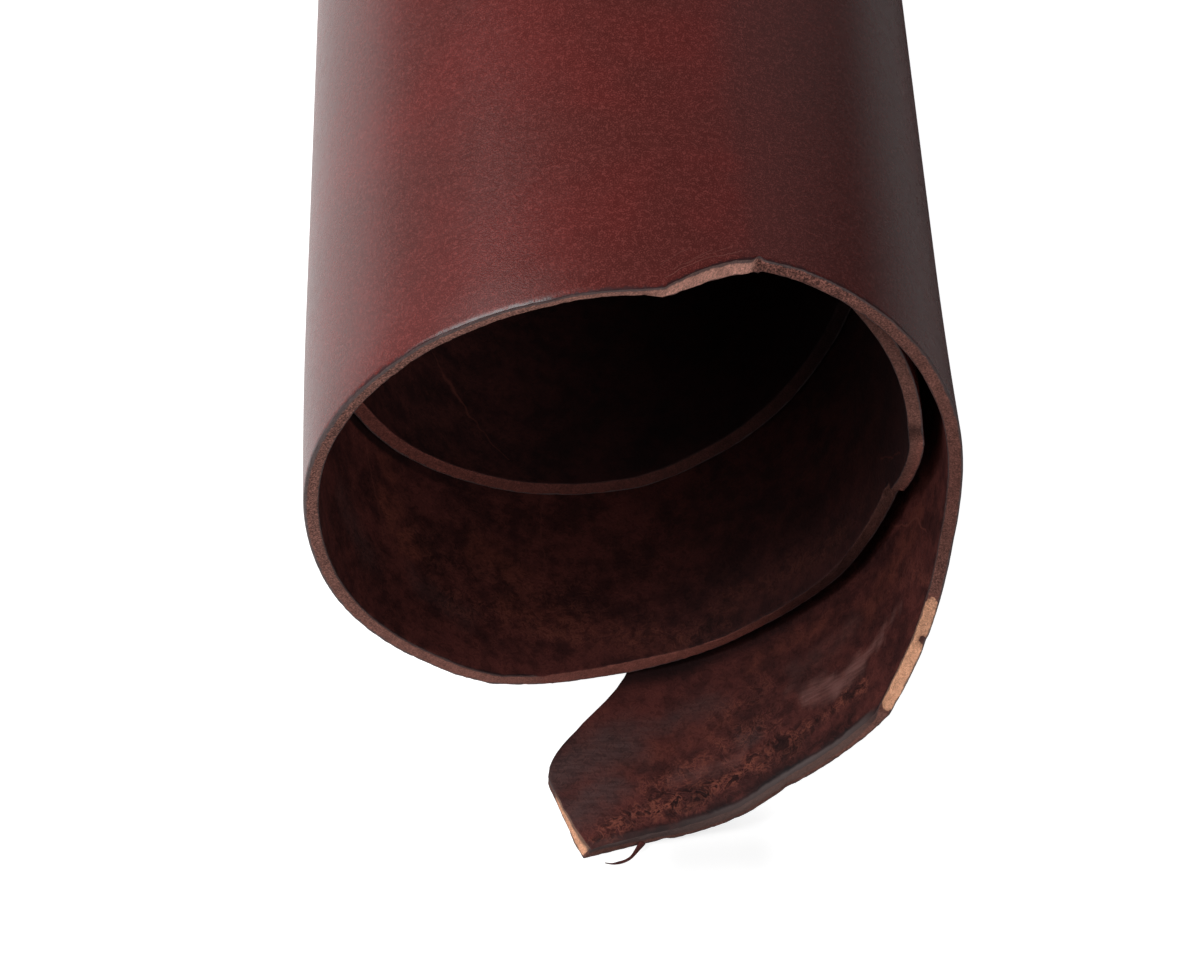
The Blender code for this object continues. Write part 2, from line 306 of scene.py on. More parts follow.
def buildLeatherSide():
    wraps, near, far, wrap, behind = leatherLattice()
    layers = np.array(roll["layers"])
    mmPerDegree = math.pi / 180 * roll["bendRadiusMm"]
    shape = (len(wraps), behind.shape[1], len(layers))

    # places on the flat sheet, in mm: round the roll, behind the rim, and below the grain side
    roundMm = (arcLength(wrap) - arcLength(wraps[0])) * 1000
    aroundMm = np.broadcast_to(roundMm[:, :, None], shape).copy()
    behindMm = np.broadcast_to(behind[:, :, None] * 1000, shape).copy()
    belowMm = np.broadcast_to(layers * thickMm, shape).copy()
    nearMm, farMm = near[:, None, None] * 1000, far[:, None, None] * 1000
    fromNear, fromFar = behindMm - nearMm, farMm - behindMm
    fromTail, fromInner = aroundMm - aroundMm[0][None], aroundMm[-1][None] - aroundMm
    fromEdge = np.minimum(np.minimum(fromNear, fromFar), np.minimum(fromTail, fromInner))

    # rounded corners along the near edge, the tail's end and the far edge
    grainHalf = belowMm < thickMm / 2
    grainCorner = straightThrough(roll["grainCornerMm"], wraps)[:, None, None]
    fleshCorner = straightThrough(roll["fleshCornerMm"], wraps)[:, None, None]
    plainCorner = roll["plainCornerMm"]
    nearIn, depth = roundBothCorners(fromNear, belowMm, grainHalf, grainCorner, fleshCorner)
    tailIn, depth = roundBothCorners(fromTail, depth, grainHalf, plainCorner, plainCorner)
    farIn, depth = roundBothCorners(fromFar, depth, grainHalf, plainCorner, plainCorner)
    movedBehind = behindMm + (nearIn - fromNear) - (farIn - fromFar)
    movedWrap = wrap[:, :, None] + (tailIn - fromTail) / mmPerDegree

    # the ragged near edge with its bites and stray tufts, and the lean of the knife
    rough = roughenedCut(roundMm[:, 0], layers)
    for biteWrap, width, deepMm, layer in roll["bites"]:
        aside = ((wraps[:, None] - biteWrap) / width) ** 2
        through = ((layers[None, :] - layer) / roll["biteSpread"]) ** 2
        rough = rough + deepMm * np.exp(-aside - through)
    forward, fallen = (
        straightThrough(roll["knifeLean"], wraps, column)[:, None] for column in (1, 2))
    leaning = fallen * layers - forward * (1 - layers)
    movedBehind += rough[:, None, :] * fadeOut(fromNear, roll["raggedReachMm"])
    movedBehind += leaning[:, None, :] * fadeOut(fromNear, roll["leanReachMm"])

    # the same along the tail's end
    endRough = roughenedCut(behind[0] * 1000 + roll["tailShiftMm"], layers)
    endLeaning = straightThrough(roll["tailLean"], behind[0] * 1000)[:, None] * layers
    movedWrap += endRough * fadeOut(fromTail, roll["raggedReachMm"]) / mmPerDegree
    movedWrap += endLeaning * fadeOut(fromTail, roll["tailLeanReachMm"]) / mmPerDegree

    # a slight ripple in the sheet, and the rim's droop
    ripple = softNoise(1, aroundMm, behindMm, roll["rippleSizeMm"]) * roll["rippleMm"] / 1000
    flatTo, rippledFrom = roll["rippleWraps"]
    ripple = ripple * np.clip((movedWrap - flatTo) / (rippledFrom - flatTo), 0, 1)
    droop = straightThrough(roll["rimDroopMm"], wraps)[:, None, None] / 1000
    ripple = ripple - droop * fadeOut(fromNear, roll["rimDroopReachMm"])
    behindEdge = np.maximum(0, movedBehind - nearMm) / 1000
    points = windSheet(movedWrap, movedBehind / 1000, depth / 1000, behindEdge, ripple)

    # only the points on the outside of the lattice are kept
    shell = np.zeros(shape, bool)
    shell[:, :, 0] = shell[:, :, -1] = shell[0] = shell[-1] = True
    shell[:, 0] = shell[:, -1] = True
    index = -np.ones(shape, int)
    index[shell] = np.arange(shell.sum())

    def quads(grid, turned):
        around = [grid[:-1, :-1], grid[1:, :-1], grid[1:, 1:], grid[:-1, 1:]]
        around = np.stack(around, -1).reshape(-1, 4)
        return around[:, ::-1] if turned else around

    grain = quads(index[:, :, 0], True)
    flesh = quads(index[:, :, -1], False)
    cut = np.concatenate([
        quads(index[:, 0, :], False), quads(index[:, -1, :], True),
        quads(index[0], True), quads(index[-1], False),
    ])
    faces = np.concatenate([grain, flesh, cut])
    kinds = np.repeat(np.array([0, 1, 2], np.int32), [len(grain), len(flesh), len(cut)])

    points = points[shell]
    low, high = points.min(0), points.max(0)
    shift = (np.array(sideLow) + np.array(sideHigh) - low - high) / 2
    shift[2] = 0
    points = points + shift

    mesh = makeMesh("leatherSide", points, faces.tolist())
    mesh.polygons.foreach_set("material_index", kinds)
    paintPoints(mesh, "sheet", np.stack([aroundMm, behindMm, belowMm], -1)[shell])
    masks = {"wrap": movedWrap, "fromEdge": fromEdge, "fromNear": fromNear}
    masks.update(paintedMasks(movedWrap, aroundMm, behindMm, belowMm, fromTail))
    for name, values in masks.items():
        paintPoints(mesh, name, values[shell])
    mesh.validate()
    mesh.update()
    piece = placeObject("leatherSide", mesh)
    print("leather side:", len(points), "points,", len(faces) * 2, "triangles")
    return piece, shift


# How each stroke of the knife left the cut edge, from 0 to 1; the dark column also holds painted shade on
# the inner turns' edges deep in the roll.
cutStrokes = [  # wrap, fresh and pale, pinkish, dark, dark towards the flesh side, gritty, ruddy
    (-99, 0.10, 0, 0.30, 0, 0.2, 0), (-88, 0, 0, 0.2, 0, 0.2, 0), (-60, 0.04, 0, 0.1, 0, 0.25, 0),
    (-45, 0, 0.12, 0, 0, 0.25, 0), (-38.6, 0, 0.12, 0, 0, 0.3, 0), (-38, 0.92, 0, 0, 0, 0.15, 0),
    (-34, 1, 0, 0, 0, 0.1, 0), (-28, 1, 0, 0, 0, 0.1, 0), (-24, 0.85, 0, 0, 0, 0.2, 0),
    (-18.6, 0.75, 0, 0, 0, 0.3, 0.3), (-18, 0, 0.1, 0.35, 0, 0.5, 0.4), (0, 0, 0, 0.25, 0, 0.5, 0.3),
    (18, 0, 0.06, 0.15, 0, 0.5, 0.2), (40, 0, 0.08, 0.1, 0.2, 0.8, 0.2),
    (60, 0, 0.12, 0.05, 0.3, 1, 0.6), (68.2, 0, 0.15, 0.15, 0.4, 1, 0.7), (68.8, 0, 0.7, 0, 0, 0.5, 0),
    (69.5, 0, 0.9, 0, 0, 0.3, 0), (84, 0, 0.9, 0, 0, 0.3, 0), (86, 0, 0.40, 0, 0, 0.4, 0),
    (110, 0, 0.26, 0, 0.1, 0.7, 0), (150, 0, 0.10, 0, 0.1, 0.9, 0), (200, 0, 0.08, 0, 0, 0.6, 0),
    (225, 0, 0.1, 0, 0, 0.3, 0.2), (251, 0, 0.12, 0, 0, 0.25, 0.5), (253, 0, 0.06, 0, 0, 0.2, 1),
    (281, 0, 0.05, 0, 0, 0.2, 1), (296, 0, 0.03, 0.10, 0, 0.3, 1), (306, 0, 0, 0.75, 0, 0.3, 1),
    (322, 0, 0, 0.85, 0, 0.3, 0.5), (332, 0, 0, 0.55, 0, 0.3, 0.3), (344.6, 0, 0, 0.45, 0, 0.4, 0),
    (345, 0, 0.12, 0, 0.75, 0.4, 1), (366, 0, 0.16, 0, 0.65, 0.4, 1), (366.6, 0, 0, 0.8, 0, 0.4, 0),
    (368.5, 0, 0.08, 0.2, 0, 0.5, 0), (400, 0, 0, 0.45, 0, 0.5, 0), (520, 0, 0, 0, 0, 0.4, 0.8),
    (590, 0, 0, 0.20, 0, 0.4, 1), (640, 0, 0, 0.7, 0, 0.4, 1), (690, 0, 0, 1, 0, 0.4, 1),
    (1236, 0, 0, 1, 0, 0.4, 1),
]
burnishMm = [  # wrap, how far in the cut is rubbed dark from its grain side, and from its flesh side
    (-99, 0.65, 0.8), (-90, 0.65, 1.6), (-80, 0.6, 2.4), (-48, 0.6, 2.2), (-40, 0.6, 1.4),
    (-38.2, 0.5, 0.4), (60, 0.6, 0.4), (69, 0.75, 0.3), (84, 0.85, 0.3), (90, 1.2, 0.3),
    (150, 1.2, 0.4), (180, 0.8, 0.45), (240, 0.6, 0.5), (251, 0.6, 0.5), (253, 0.5, -0.5),
    (344, 0.5, -0.3), (345, 0.5, 0.3), (366, 0.5, 0.3), (500, 0.5, 0.3), (520, 0.5, -0.5),
    (1236, 0.5, -0.5),
]
freshCut = {  # the pale last stroke, between two wraps
    "from": -38.0,
    "to": -18.6,
    "within": (-40, -17),  # wraps between which its ends are rounded off
    "mmPerDegree": 1.45,
    "roundMm": 2.4,
    "softMm": 0.7,
    "nick": (-25.8, 0.6, 0.15, 0.40),  # wrap, width, layer, height
    "nickDark": 0.6,
}
freshTail = {  # the pale place on the tail's end, in mm behind the rim
    "reachMm": 0.8,
    "from": -49.3,
    "fromSoftMm": 0.6,
    "to": -28,
    "toSoftMm": 6,
    "share": 0.9,
}

# Wear on the flesh side, each patch between two places on the sheet: mm round from the tail's corner
# and mm behind the rim, then the same for its other end, its width, softness and strength.
fleshWear = {
    "rusty": [
        (7, -42.5, 22, -35, 12, 0.9, 0.85), (20, -37.5, 42, -29, 14, 0.9, 1),
        (16, -31, 30, -24, 11, 1, 0.55), (42, -28.5, 64, -21.5, 10, 0.9, 0.9),
        (62, -21, 86, -19, 7, 0.9, 0.75), (30, -24, 54, -14, 12, 1, 0.5),
        (0, -46.5, 9, -44.5, 3, 0.8, 0.8), (455, 34, 520, 26, 22, 1, 0.20),
        (480, 20, 560, 14, 16, 1, 0.35), (108, 6, 120, -8, 10, 1, 0.3), (560, 22, 610, 26, 14, 1, 0.30),
        (36, -12, 52, -4, 12, 1, 0.35), (79, -13, 84, -16, 4, 0.8, 0.7),
    ],
    "blackened": [
        (24, -43.5, 36, -39.5, 5, 0.9, 0.8), (28, -36, 36, -33, 5.5, 0.8, 0.95),
        (44, -36.5, 60, -30.5, 5, 0.9, 0.9), (60, -30, 78, -26.5, 4.5, 0.9, 0.8),
        (16, -45.5, 24, -44.3, 3, 0.8, 0.8), (30, -32, 38, -27, 5, 0.9, 0.6),
        (56, -26, 62, -24, 4, 0.8, 0.7), (78, -26.5, 88, -23.5, 4, 0.9, 0.6),
        (84, -14, 90, -12, 4, 0.9, 0.6), (34, -40, 43, -36, 7, 0.9, 0.75),
        (46, -35, 58, -29, 6, 0.9, 0.7), (22, -40, 28, -37, 4, 0.8, 0.7),
    ],
    "buffed": [
        (66, -11.5, 76, -13.2, 8, 0.8, 0.85), (76, -13.2, 85, -10.5, 9, 0.8, 0.9),
        (85, -11, 93, -9, 6, 0.8, 0.8), (60, -8.5, 72, -9.5, 5, 1, 0.35), (62, -3, 84, 2, 8, 1, 0.2),
        (24, -28, 44, -24, 6, 1, 0.3), (90, -8, 104, -4, 3, 0.9, 0.45),
    ],
    # grey dull wear, partly a painted sheen where the flap faces up
    "dullWearAndSheen": [
        (-8, -24, 12, -16, 24, 1, 0.85), (-2, -38, 8, -30, 16, 1, 0.75), (14, -12, 36, -6, 14, 1, 0.55),
        (45.5, -19.5, 49, -18, 7, 0.8, 0.8), (430, 24, 446, 18, 18, 1, 0.35),
        (468, 20, 482, 15, 14, 1, 0.3),
    ],
    "warmed": [
        (454, 40, 464, 30, 18, 1, 0.9), (488, 40, 502, 33, 16, 1, 0.6), (438, 60, 455, 50, 14, 1, 0.6),
        (498, 22, 545, 12, 16, 1, 0.5), (560, 20, 600, 24, 16, 1, 0.4), (12, -22, 40, -14, 14, 1, 0.4),
        (50, 4, 76, 10, 10, 1, 0.5), (90, 4, 118, 16, 14, 1, 0.5),
    ],
}
brownedGrain = [(215, -60, 215, 1000, 76, 0.25, 0.75)]  # the dull strip along the grain side's right
shadowedByNext = [  # wrap, mm in front of the next turn's edge that lie in its shadow, how dark
    (-99, 8, 0.85), (-80, 7, 0.85), (-68, 4.5, 0.6), (-50, 3, 0.25), (-35, 2, 0.0), (-10, 1.5, 0.0),
    (150, 2.2, 0), (165, 2.0, 0.9), (205, 1.6, 0.9), (235, 1.2, 0.4), (255, 1.2, 0), (1236, 1.2, 0),
]
rubbedShare = [  # wrap, how far the flap's corner is polished
    (-99, 0.15), (-84, 0.25), (-76, 0.55), (-66, 0.9), (-48, 0.9), (-42, 0.7), (-38, 0), (1236, 0),
]
creaseShadeShare = [  # wrap, how dark the painted shade in the crease just behind the cut is on the flesh side
    (-99, 0.3), (-84, 0.4), (-74, 0.8), (-38, 0.8), (-37, 0.5), (60, 0.5), (180, 0.8), (249, 0.8),
    (252, 0), (341, 0), (343, 0.5), (500, 0.3), (520, 0), (1236, 0),
]
paintedShadeInside = [  # wrap, how much painted shade darkens and dulls the flesh side deep in the roll
    (-99, 0), (255, 0), (275, 0.15), (295, 0.45), (320, 0.55), (345, 0.7), (365, 0.75), (400, 0.4),
    (450, 0.2), (540, 0.25), (590, 0.45), (640, 0.75), (690, 0.9), (1236, 0.9),
]
patchPushes = {  # seed, size of the hills in mm, how far they push a patch's outline in mm
    "round": [(21, 6.0, 2.6), (22, 2.6, 1.2)],
    "behind": [(23, 6.0, 1.9), (24, 2.6, 0.9)],
}


def softPatches(roundMm, behindMm, rows):
    # a mask of soft patches, their outlines pushed about so that none is plain
    x, y = roundMm, behindMm
    for seed, size, push in patchPushes["round"]:
        x = x + push * softNoise(seed, roundMm, behindMm, size)
    for seed, size, push in patchPushes["behind"]:
        y = y + push * softNoise(seed, roundMm, behindMm, size)
    mask = np.zeros(roundMm.shape)
    for fromX, fromY, toX, toY, width, softness, strength in rows:
        alongX, alongY = toX - fromX, toY - fromY
        share = ((x - fromX) * alongX + (y - fromY) * alongY) / (alongX ** 2 + alongY ** 2)
        share = np.clip(share, 0, 1)
        gap = np.hypot(x - fromX - share * alongX, y - fromY - share * alongY)
        rise = np.clip((width / 2 - gap) / (width / 2 * softness), 0, 1)
        mask = np.maximum(mask, strength * rise * rise * (3 - 2 * rise))
    return mask


def paintedMasks(wrap, roundMm, behindMm, depthMm, fromTail):
    # the strokes of the knife on the cut edge, and the wear on the flesh side
    names = ("fresh", "pink", "dark", "darkFlesh", "gritty", "ruddy")
    strokes = {name: straightThrough(cutStrokes, wrap, column) for column, name in enumerate(names, 1)}

    # the pale stroke has rounded ends and a small nick
    fromMiddle = (depthMm - thickMm / 2) / (thickMm / 2)
    fromEnd = np.minimum(wrap - freshCut["from"], freshCut["to"] - wrap) * freshCut["mmPerDegree"]
    rounded = freshCut["roundMm"] * (1 - np.sqrt(np.clip(1 - fromMiddle ** 2, 0, 1)))
    ended = np.clip((fromEnd - rounded) / freshCut["softMm"], 0, 1)
    nearby = (wrap > freshCut["within"][0]) & (wrap < freshCut["within"][1])
    fresh = strokes["fresh"] * np.where(nearby, ended, 1)
    nickWrap, nickWidth, nickLayer, nickHeight = freshCut["nick"]
    aside, through = (wrap - nickWrap) / nickWidth, (depthMm / thickMm - nickLayer) / nickHeight
    nick = np.exp(-aside ** 2 - through ** 2)

    onTail = np.clip(1 - fromTail / freshTail["reachMm"], 0, 1)
    tailFresh = onTail * np.clip((behindMm - freshTail["from"]) / freshTail["fromSoftMm"], 0, 1)
    tailFresh = tailFresh * np.clip((freshTail["to"] - behindMm) / freshTail["toSoftMm"], 0, 1)
    towardsFlesh = np.clip((depthMm - thickMm / 4) / (thickMm / 2), 0, 1)
    # dark strokes, and painted shade on the inner turns' edges deep in the roll
    dark = strokes["dark"] + strokes["darkFlesh"] * towardsFlesh + freshCut["nickDark"] * nick

    # how far below the next turn a place lies, in reaches of its shadow
    nextEdge = straightThrough(roll["nearEdge"], wrap + 360) * 1000
    shadowReach = straightThrough(shadowedByNext, wrap, 1)
    underNext = np.clip((behindMm - nextEdge) / shadowReach, -3, 3)
    masks = {
        "fresh": np.maximum(fresh * (1 - nick), freshTail["share"] * tailFresh),
        "pink": strokes["pink"] * (1 - onTail),
        "dark": np.clip(dark, 0, 1) * (1 - tailFresh),
        "gritty": strokes["gritty"],
        "ruddy": strokes["ruddy"],
        "burnishedGrain": straightThrough(burnishMm, wrap, 1),
        "burnishedFlesh": straightThrough(burnishMm, wrap, 2),
        "underNext": underNext,
        "nextShadow": straightThrough(shadowedByNext, wrap, 2),
        # painted shade in the crease
        "creaseShadeShare": straightThrough(creaseShadeShare, wrap),
        "rubbedShare": straightThrough(rubbedShare, wrap),
        "browned": softPatches(roundMm, behindMm, brownedGrain),
        # painted shade deep inside the roll
        "inside": straightThrough(paintedShadeInside, wrap),
    }
    for name, rows in fleshWear.items():
        masks[name] = softPatches(roundMm, behindMm, rows)
    return masks


leatherSide, sheetShift = buildLeatherSide()
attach(leatherSide, "root")
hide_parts("leather_side")

# A thread of leather that the knife left hanging from the flap's front edge.
loosePiece = {
    "path": [  # across, behind the rim and up, in mm from the roll's axis and the floor
        (2.2, -45.8, 1.5), (1.4, -46.9, 1.3), (0.6, -48.0, 1.1), (-0.3, -49.2, 0.9), (-1.2, -50.1, 0.7),
        (-2.6, -50.9, 0.55), (-4.2, -51.3, 0.40), (-5.9, -51.5, 0.30), (-7.8, -51.2, 0.35),
    ],
    "widthMm": [1.8, 1.5, 1.2, 1.0, 0.9, 0.8, 0.8, 0.5, 0.12],
    "twistDegrees": [20, 25, 30, 40, 50, 40, 25, 10, 0],
    "thickMm": 0.4,
    "section": [(-0.5, 0), (-0.3, 1), (0.3, 1), (0.5, 0), (0.3, -1), (-0.3, -1)],  # shares across and out
    "stepsBetween": 5,
    "floorGapMm": 0.02,
    "fromEdgeMm": 3.0,  # far enough from any edge to have the plain flesh finish
}


def buildLooseThread():
    # a flat ribbon along a smooth path, six-sided, thinning to a point
    path = np.array(loosePiece["path"])
    count = len(path)
    at = np.linspace(0, count - 1, (count - 1) * loosePiece["stepsBetween"] + 1)
    knots = np.arange(count)
    line = np.stack([curveThrough(list(zip(knots, path[:, i])), at) for i in range(3)], -1)
    width = np.interp(at, knots, loosePiece["widthMm"])
    ahead = np.gradient(line, axis=0)
    ahead /= np.linalg.norm(ahead, axis=1)[:, None]
    sideways = np.cross(ahead, (0, 0, 1.0))
    sideways /= np.linalg.norm(sideways, axis=1)[:, None]
    twist = np.radians(np.interp(at, knots, loosePiece["twistDegrees"]))[:, None]
    flat = sideways * np.cos(twist) + np.cross(sideways, ahead) * np.sin(twist)
    normal = np.cross(flat, ahead)
    half = loosePiece["thickMm"] / 2
    ring = []
    for across, out in loosePiece["section"]:
        ring.append(line + flat * width[:, None] * across + normal * half * out)
    points = np.stack(ring, 1).reshape(-1, 3)
    points[:, 2] = np.maximum(points[:, 2], loosePiece["floorGapMm"])
    sides, steps = len(ring), len(at)
    faces = []
    for i in range(steps - 1):
        for j in range(sides):
            k = (j + 1) % sides
            faces.append((i * sides + j, i * sides + k, (i + 1) * sides + k, (i + 1) * sides + j))
    faces.append(tuple(reversed(range(sides))))
    faces.append(tuple((steps - 1) * sides + j for j in range(sides)))
    mesh = makeMesh("looseThread", points / 1000 + sheetShift, faces)
    paintPoints(mesh, "sheet", points)
    paintPoints(mesh, "fromEdge", np.full(len(points), loosePiece["fromEdgeMm"]))
    mesh.update()
    return placeObject("looseThread", mesh)


looseThread = buildLooseThread()
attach(looseThread, "root")
print("loose thread made")


# Small helpers for shader nodes, which add them to the tree that is being drawn.
# A value may be a number, a vector or another node's socket.
drawing = {"tree": None}


def put(kind, **settings):
    nodes = drawing["tree"].nodes
    node = nodes.new(kind)
    place = len(nodes) - 1
    node.location = (place % 9 * 190, -(place // 9) * 260)
    for name, value in settings.items():
        setattr(node, name, value)
    return node


def feed(socket, value):
    if isinstance(value, bpy.types.NodeSocket):
        drawing["tree"].links.new(value, socket)
    elif value is not None:
        socket.default_value = value


def number(operation, *values, clamped=False):
    node = put("ShaderNodeMath", operation=operation, use_clamp=clamped)
    for socket, value in zip(node.inputs, values):
        feed(socket, value)
    return node.outputs[0]


def times(first, second):
    return number("MULTIPLY", first, second)


def plus(first, second):
    return number("ADD", first, second)


def minus(first, second):
    return number("SUBTRACT", first, second)


def sloped(value, slope, start):
    # start, and slope more for each 1 of the value
    return plus(times(value, slope), start)


def vector(operation, *values):
    node = put("ShaderNodeVectorMath", operation=operation)
    for socket, value in zip(node.inputs, values):
        feed(socket, value)
    return node.outputs["Value" if operation in ("DOT_PRODUCT", "LENGTH", "DISTANCE") else "Vector"]


def ramp(value, low, high, toLow=0.0, toHigh=1.0):
    node = put("ShaderNodeMapRange", interpolation_type="SMOOTHSTEP")
    for name, given in (("Value", value), ("From Min", low), ("From Max", high),
                        ("To Min", toLow), ("To Max", toHigh)):
        feed(node.inputs[name], given)
    return node.outputs["Result"]


def blend(factor, first, second):
    node = put("ShaderNodeMix", data_type="RGBA", clamp_factor=True)
    for name, given in (("Factor_Float", factor), ("A_Color", first), ("B_Color", second)):
        socket = next(s for s in node.inputs if s.identifier == name)
        feed(socket, (*given, 1) if isinstance(given, tuple) and len(given) == 3 else given)
    return next(s for s in node.outputs if s.identifier == "Result_Color")


def scaled(given, factor):
    # a colour or a vector made larger or smaller
    node = put("ShaderNodeVectorMath", operation="SCALE")
    feed(node.inputs[0], given)
    feed(node.inputs["Scale"], factor)
    return node.outputs[0]


def noise(position, size, detail=2.0, output="Fac"):
    # size is the width of its hills in mm
    fineShare = 0.55  # how strong each finer detail is
    node = put("ShaderNodeTexNoise")
    scale = number("DIVIDE", 1.0, size) if isinstance(size, bpy.types.NodeSocket) else 1.0 / size
    for name, given in (
            ("Vector", position), ("Scale", scale), ("Detail", detail), ("Roughness", fineShare)):
        feed(node.inputs[name], given)
    return node.outputs[output]


def startGroup(name, inputs, outputs):
    group = bpy.data.node_groups.new(name, "ShaderNodeTree")
    drawing["tree"] = group
    for label, kind, value in inputs:
        socket = group.interface.new_socket(label, in_out="INPUT", socket_type="NodeSocket" + kind)
        if value is not None:
            socket.default_value = value
    for label, kind in outputs:
        group.interface.new_socket(label, in_out="OUTPUT", socket_type="NodeSocket" + kind)
    start, end = put("NodeGroupInput"), put("NodeGroupOutput")
    return group, start.outputs, end.inputs


def useGroup(group, **values):
    # places a group in a material; an underscore in a value's name stands for a space
    node = put("ShaderNodeGroup", node_tree=group)
    for name, value in values.items():
        feed(node.inputs[name.replace("_", " ")], value)
    return node.outputs


def makeClouds():
    # soft uneven dye: a tone that hovers round 1, strength to either side
    group, given, result = startGroup(
        "cloudyDye",
        [("Position", "Vector", None), ("Size", "Float", 12.0), ("Strength", "Float", 0.2)],
        [("Tone", "Float")])
    hills = noise(given["Position"], given["Size"], 3.0)
    swing = times(minus(hills, 0.5), given["Strength"])
    feed(result["Tone"], plus(times(swing, 2.0), 1.0))
    return group


def makePebble():
    # the grain's fine pebble: its height, and its small peaks, where the grain's colour paints a
    # highlight on a darker painted-shade ground
    group, given, result = startGroup(
        "finePebble",
        [("Position", "Vector", None), ("Pitch", "Float", 0.5)],
        [("Height", "Float"), ("Peaks", "Float")])
    cells = put("ShaderNodeTexVoronoi", feature="F1", voronoi_dimensions="2D")
    feed(cells.inputs["Vector"], given["Position"])
    feed(cells.inputs["Scale"], number("DIVIDE", 1.0, given["Pitch"]))
    unevenPitches, unevenShare, peakRamp = 2.6, 1.1, (0.10, 0.50)
    uneven = noise(given["Position"], times(given["Pitch"], unevenPitches), 1.0)
    height = minus(times(uneven, unevenShare), cells.outputs["Distance"])
    feed(result["Height"], height)
    feed(result["Peaks"], ramp(height, *peakRamp))
    return group


def makeFibres():
    # matted fibres: thin curly strands, and the nap's own height
    group, given, result = startGroup(
        "curlyFibres",
        [("Position", "Vector", None), ("Pitch", "Float", 1.0)],
        [("Strands", "Float"), ("Height", "Float")])
    pitch = given["Pitch"]
    swirlPitches, swirlPush, strandWidth, strandShare = 1.6, 2.2, 0.11, 0.5
    swirl = noise(given["Position"], times(pitch, swirlPitches), 0.0, "Color")
    swirl = scaled(vector("SUBTRACT", swirl, (0.5, 0.5, 0.5)), times(pitch, swirlPush))
    hills = noise(vector("ADD", given["Position"], swirl), pitch, 1.0)
    ridge = number("ABSOLUTE", minus(hills, 0.5))
    strands = ramp(ridge, strandWidth, 0.0)
    feed(result["Strands"], strands)
    feed(result["Height"], sloped(strands, strandShare, hills))
    return group


def makeMark():
    # one mark between two points, such as a vein or a scratch on the sheet, a painted highlight line, or
    # the floor's painted shadow
    group, given, result = startGroup(
        "markBetweenPoints",
        [("Position", "Vector", None), ("From", "Vector", None), ("To", "Vector", None),
         ("Width", "Float", 1.0), ("Softness", "Float", 0.5)],
        [("Mask", "Float")])
    along = vector("SUBTRACT", given["To"], given["From"])
    away = vector("SUBTRACT", given["Position"], given["From"])
    share = number("DIVIDE", vector("DOT_PRODUCT", away, along),
                   vector("DOT_PRODUCT", along, along), clamped=True)
    gap = vector("DISTANCE", away, scaled(along, share))
    half = times(given["Width"], 0.5)
    core = times(half, minus(1.0, given["Softness"]))
    feed(result["Mask"], ramp(gap, half, core))
    return group


def makeRub():
    # wear and burnish that creeps in from the cut edge
    group, given, result = startGroup(
        "rubbedEdge",
        [("Position", "Vector", None), ("From Edge", "Float", 1.0), ("Reach", "Float", 1.0)],
        [("Mask", "Float")])
    unevenMm, unevenRamp, coreShare = 2.2, (0.3, 0.7, 0.5, 1.5), 0.25
    uneven = ramp(noise(given["Position"], unevenMm, 1.0), *unevenRamp)
    reach = times(given["Reach"], uneven)
    feed(result["Mask"], ramp(given["From Edge"], reach, times(reach, coreShare)))
    return group


cloudyDye, finePebble, curlyFibres = makeClouds(), makePebble(), makeFibres()
markBetweenPoints, rubbedEdge = makeMark(), makeRub()


def startMaterial(name, **constants):
    material = bpy.data.materials.new(name)
    material.use_nodes = True
    drawing["tree"] = material.node_tree
    shader = material.node_tree.nodes["Principled BSDF"]
    for label, value in constants.items():
        shader.inputs[label.replace("_", " ")].default_value = value
    return material, shader


def attribute(name, socket="Fac"):
    node = put("ShaderNodeAttribute", attribute_name=name)
    return node.outputs[socket]


def dye(position, size, strength):
    return useGroup(cloudyDye, Position=position, Size=size, Strength=strength)["Tone"]


flapWraps = (-37.0, -44.0)  # the flap's own finish fades in between these wraps


def onTheFlap():
    return ramp(attribute("wrap"), *flapWraps)


def wobbled(position, size, amount):
    # the sheet's own place, pushed about, so that marks aren't straight
    push = vector("SUBTRACT", noise(position, size, 1.0, "Color"), (0.5, 0.5, 0.5))
    push = vector("MULTIPLY", push, (amount, amount, 0.0))
    flat = vector("MULTIPLY", position, (1.0, 1.0, 0.0))
    return vector("ADD", flat, push)


def allMarks(position, rows):
    # one mask for a list of marks: from round and behind, to round and behind, width, softness, strength
    total = None
    for fromRound, fromBehind, toRound, toBehind, width, softness, strength in rows:
        mark = useGroup(markBetweenPoints, Position=position, From=(fromRound, fromBehind, 0),
                        To=(toRound, toBehind, 0), Width=width, Softness=softness)["Mask"]
        mark = times(mark, strength)
        total = mark if total is None else number("MAXIMUM", total, mark)
    return total


def bumpFrom(shader, height, depthMm):
    bump = put("ShaderNodeBump")
    feed(bump.inputs["Height"], height)
    feed(bump.inputs["Distance"], depthMm / 1000)
    feed(bump.inputs["Strength"], 1.0)
    feed(shader.inputs["Normal"], bump.outputs["Normal"])


